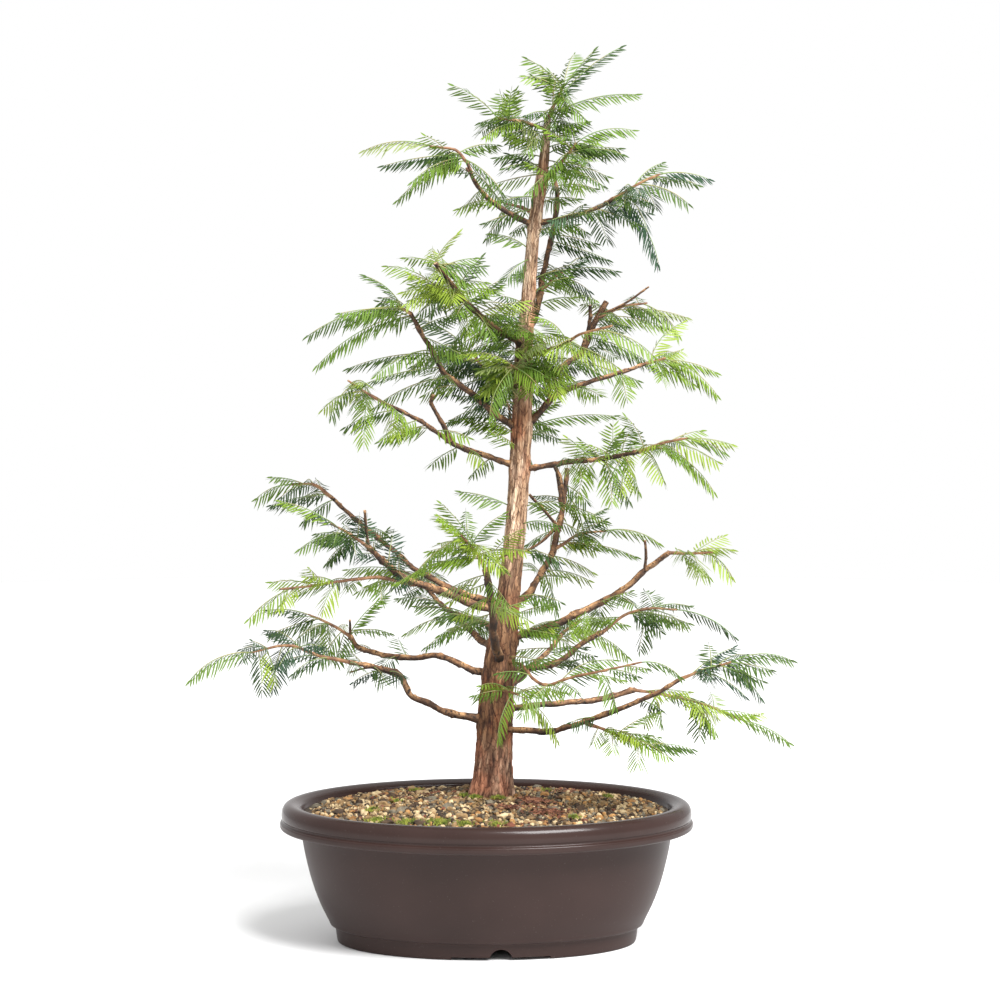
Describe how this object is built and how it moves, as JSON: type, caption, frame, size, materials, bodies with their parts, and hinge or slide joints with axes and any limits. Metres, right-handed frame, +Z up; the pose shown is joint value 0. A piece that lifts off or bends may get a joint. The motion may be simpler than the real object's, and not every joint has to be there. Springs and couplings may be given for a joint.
{
  "type": "dawn redwood bonsai in an oval pot",
  "caption": "Dawn redwood bonsai: a slender tapering trunk with tiers of knobbly boughs and feathery drooping needle sprays, standing in an oval plastic pot filled with grit.",
  "frame": {"origin": "centre of the flat pad under the pot, on the plane that the pot stands on", "axes": "+Z up, along the tree; +X to the tree's right as seen from its front, along the pot's long axis; +Y to its back"},
  "size_m": [0.5927, 0.424, 0.8668],
  "materials": {
    "pot_plastic": "dark brown moulded plastic, satin, a little glossier on the rim",
    "grit_stone": "mixed tan, grey and brown grit of 4 to 8 mm",
    "trunk_bark": "stringy bark in upright strips, red-brown low down and tan above",
    "bough_bark": "thin brown bark, with pale cut ends",
    "needles_bright": "fresh yellow-green needles, soft sheen",
    "needles_green": "mid green needles, soft sheen",
    "needles_dark": "bluish dark green needles, soft sheen"
  },
  "bodies": {
    "root": {"pot": "pot_plastic", "grit": "grit_stone", "trunk": "trunk_bark", "left_low": "bough_bark", "left_low_back": "bough_bark", "left_mid_low": "bough_bark", "left_mid_low_upper": "bough_bark", "front_low": "bough_bark", "left_mid": "bough_bark", "left_hanging": "bough_bark", "left_pruned": "bough_bark", "left_high": "bough_bark", "right_low": "bough_bark", "right_low_cut": "bough_bark", "right_low_back": "bough_bark", "right_mid_low": "bough_bark", "right_rising": "bough_bark", "right_mid": "bough_bark", "right_mid_high": "bough_bark", "right_pruned": "bough_bark", "right_high": "bough_bark", "back_leader": "bough_bark", "back_left_low": "bough_bark", "back_right_low": "bough_bark", "left_low_foliage": "needles_dark", "left_low_back_foliage": "needles_green", "left_mid_low_foliage": "needles_dark", "left_trailing_foliage": "needles_bright", "left_mid_low_upper_foliage": "needles_green", "left_inner_low_foliage": "needles_green", "front_low_foliage": "needles_bright", "left_mid_foliage": "needles_green", "left_inner_mid_foliage": "needles_dark", "left_hanging_foliage": "needles_bright", "left_pruned_foliage": "needles_bright", "left_high_foliage": "needles_green", "left_top_foliage": "needles_bright", "top_left_foliage": "needles_green", "top_foliage": "needles_green", "top_right_foliage": "needles_green", "right_high_foliage": "needles_dark", "back_leader_foliage": "needles_green", "back_leader_low_foliage": "needles_dark", "right_mid_high_foliage": "needles_bright", "right_upright_foliage": "needles_bright", "right_pruned_foliage": "needles_green", "right_crossing_foliage": "needles_bright", "right_mid_foliage": "needles_bright", "right_rising_foliage": "needles_bright", "right_mid_low_foliage": "needles_bright", "right_low_back_foliage": "needles_green", "right_low_front_foliage": "needles_green", "right_low_cut_foliage": "needles_bright", "right_low_foliage": "needles_dark", "right_low_side_foliage": "needles_bright", "front_mid_foliage": "needles_bright", "front_low_right_foliage": "needles_bright", "back_left_low_foliage": "needles_green", "back_right_low_foliage": "needles_green", "back_mid_foliage": "needles_green"}
  },
  "joints": []
}
